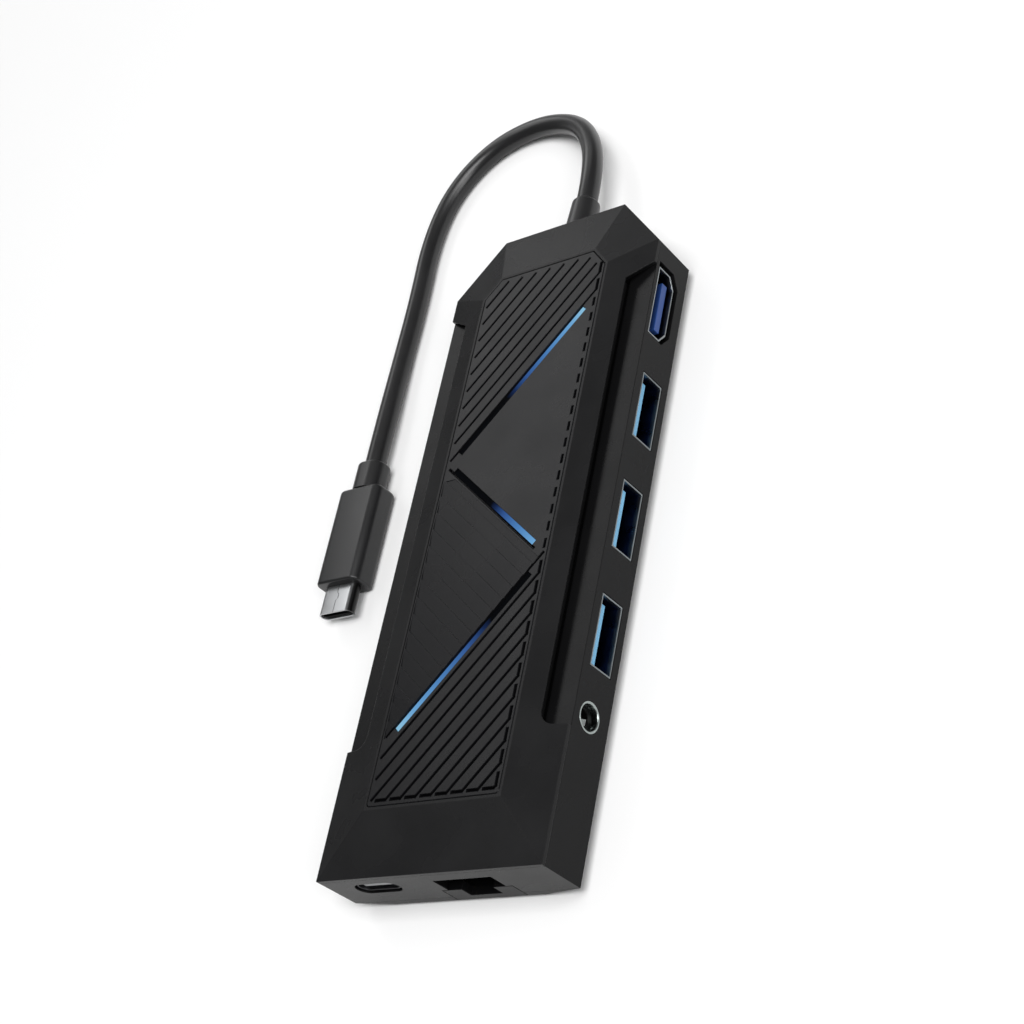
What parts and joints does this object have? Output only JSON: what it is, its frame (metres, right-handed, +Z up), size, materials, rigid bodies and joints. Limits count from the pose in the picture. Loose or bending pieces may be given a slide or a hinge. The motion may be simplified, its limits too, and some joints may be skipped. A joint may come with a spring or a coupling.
{
  "type": "laptop docking station",
  "caption": "Faceted flat hub with side sockets, a network jack with a drop jaw at one end and, at the other, a short captive cord with a USB-C plug.",
  "frame": {"origin": "middle of the case's footprint, at the height of the table that the feet stand on; the free cord and its plug are left out of that middle", "axes": "+X towards the wall with the USB and video sockets, +Y along the case towards the cord, +Z up from the table"},
  "size_m": [0.0756, 0.1747, 0.0145],
  "materials": {
    "case_plastic": "fine moulded texture, satin, near black",
    "panel_plastic": "smooth satin, near black",
    "guide_plastic": "translucent pale blue, lit at one end",
    "jaw_plastic": "satin, near black",
    "insulator_blue": "light blue moulded insulator",
    "insulator_black": "black moulded insulator",
    "shell_steel": "bright plated sheet steel",
    "contact_gold": "gold-plated spring contacts",
    "board_green": "glossy solder mask",
    "chip_black": "moulded epoxy",
    "can_metal": "drawn metal can",
    "capacitor_yellow": "moulded tantalum body",
    "pad_grey": "soft heat-conducting pad",
    "spreader_aluminium": "plain rolled sheet",
    "lamp_white": "surface-mount lamp",
    "screw_steel": "black-plated steel",
    "pin_steel": "plain steel",
    "foot_rubber": "black rubber",
    "cord_jacket": "semi-gloss black jacket",
    "lead_plastic": "coloured wire insulation"
  },
  "bodies": {
    "hub": {"audio_codec": "chip_black", "audio_jack_body": "insulator_black", "audio_jack_ring": "shell_steel", "audio_jack_springs": "contact_gold", "board_screws": "screw_steel", "bottom_cover": "case_plastic", "capacitors": "capacitor_yellow", "cord": "cord_jacket", "cord_clamp": "pin_steel", "cord_tail": "cord_jacket", "cover_screws": "screw_steel", "crystals": "can_metal", "feet": "foot_rubber", "hdmi_shell": "shell_steel", "hdmi_tongue": "insulator_blue", "heat_spreader": "spreader_aluminium", "hub_controller": "chip_black", "jaw_pins": "pin_steel", "jaw_spring": "pin_steel", "lamp_1": "lamp_white", "lamp_2": "lamp_white", "lamp_3": "lamp_white", "lead_wires": "lead_plastic", "light_board": "board_green", "light_guide_1": "guide_plastic", "light_guide_2": "guide_plastic", "light_guide_3": "guide_plastic", "louvre_panel": "panel_plastic", "main_board": "board_green", "mid_frame": "case_plastic", "network_controller": "chip_black", "network_transformer": "chip_black", "plug_body": "cord_jacket", "plug_boot": "cord_jacket", "plug_core": "insulator_black", "plug_shell": "shell_steel", "power_board": "board_green", "power_controller": "chip_black", "power_header": "insulator_black", "power_inductor": "chip_black", "rj45_contacts": "contact_gold", "rj45_housing": "insulator_black", "strain_relief": "cord_jacket", "thermal_pads": "pad_grey", "top_cover": "case_plastic", "usb_a_shell_1": "shell_steel", "usb_a_shell_2": "shell_steel", "usb_a_shell_3": "shell_steel", "usb_a_tongue_1": "insulator_blue", "usb_a_tongue_2": "insulator_blue", "usb_a_tongue_3": "insulator_blue", "usb_c_shell": "shell_steel", "usb_c_tongue": "insulator_black", "video_controller": "chip_black"},
    "jaw": {"rj45_jaw": "jaw_plastic"}
  },
  "joints": [
    {"name": "jaw_hinge", "type": "hinge", "parent": "hub", "child": "jaw", "pos_m": [0.00525, -0.05575, 0.0033], "axis": [1, 0, 0], "range_deg": [0, 22], "stiffness_Nm_per_rad": 0.004, "springref_deg": -5.73}
  ]
}
